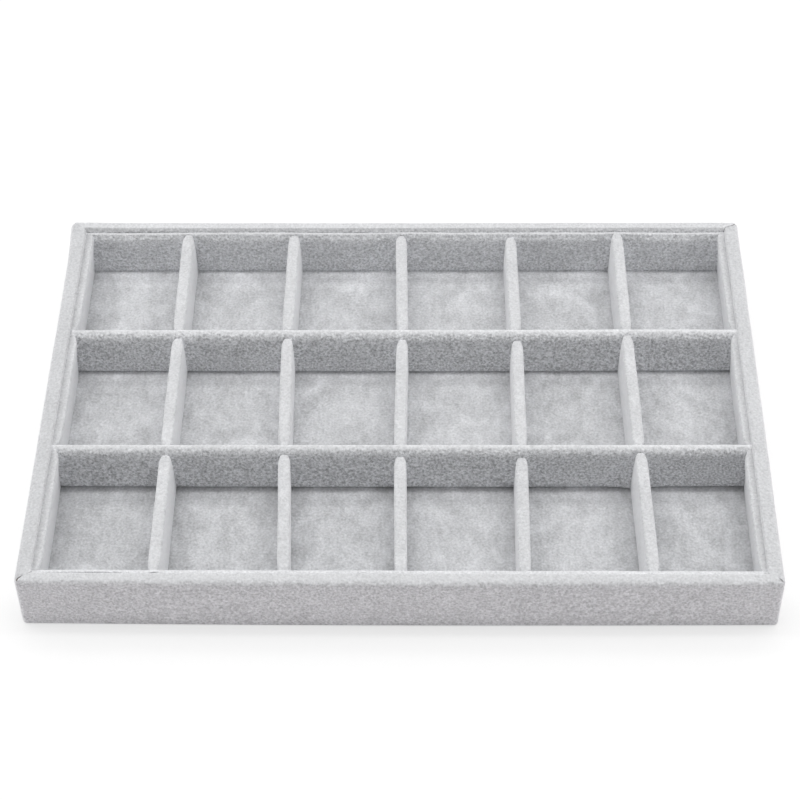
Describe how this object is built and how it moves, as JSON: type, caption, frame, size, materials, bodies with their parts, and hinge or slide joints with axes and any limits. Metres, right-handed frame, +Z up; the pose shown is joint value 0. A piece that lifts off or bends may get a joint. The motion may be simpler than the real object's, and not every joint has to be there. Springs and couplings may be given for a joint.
{
  "type": "jewelry tray",
  "caption": "Shallow rectangular display tray wrapped in pale grey velvet, with a soft rounded rim, lined walls and upright padded dividers that make a grid of open compartments.",
  "frame": {"origin": "middle of the flat underside, on the surface that the tray stands on", "axes": "+X along the long side to the right, -Y towards the front wall, +Z up out of the compartments"},
  "size_m": [0.35, 0.24, 0.032],
  "materials": {
    "wall_velvet": "matte",
    "floor_velvet": "matte",
    "liner_velvet": "matte",
    "divider_velvet": "matte",
    "felt": "matte",
    "wall_board": "matte",
    "base_board": "matte",
    "card": "matte"
  },
  "bodies": {
    "root": {"bottom_felt": "felt", "base_board": "base_board", "front_wall_board": "wall_board", "right_wall_board": "wall_board", "back_wall_board": "wall_board", "left_wall_board": "wall_board", "wall_velvet": "wall_velvet", "floor_velvet": "floor_velvet", "front_liner_card": "card", "front_liner_velvet": "liner_velvet", "right_liner_card": "card", "right_liner_velvet": "liner_velvet", "back_liner_card": "card", "back_liner_velvet": "liner_velvet", "left_liner_card": "card", "left_liner_velvet": "liner_velvet", "long_divider_card_1": "card", "long_divider_velvet_1": "divider_velvet", "long_divider_card_2": "card", "long_divider_velvet_2": "divider_velvet", "short_divider_card_1_1": "card", "short_divider_velvet_1_1": "divider_velvet", "short_divider_card_1_2": "card", "short_divider_velvet_1_2": "divider_velvet", "short_divider_card_1_3": "card", "short_divider_velvet_1_3": "divider_velvet", "short_divider_card_1_4": "card", "short_divider_velvet_1_4": "divider_velvet", "short_divider_card_1_5": "card", "short_divider_velvet_1_5": "divider_velvet", "short_divider_card_2_1": "card", "short_divider_velvet_2_1": "divider_velvet", "short_divider_card_2_2": "card", "short_divider_velvet_2_2": "divider_velvet", "short_divider_card_2_3": "card", "short_divider_velvet_2_3": "divider_velvet", "short_divider_card_2_4": "card", "short_divider_velvet_2_4": "divider_velvet", "short_divider_card_2_5": "card", "short_divider_velvet_2_5": "divider_velvet", "short_divider_card_3_1": "card", "short_divider_velvet_3_1": "divider_velvet", "short_divider_card_3_2": "card", "short_divider_velvet_3_2": "divider_velvet", "short_divider_card_3_3": "card", "short_divider_velvet_3_3": "divider_velvet", "short_divider_card_3_4": "card", "short_divider_velvet_3_4": "divider_velvet", "short_divider_card_3_5": "card", "short_divider_velvet_3_5": "divider_velvet"}
  },
  "joints": []
}
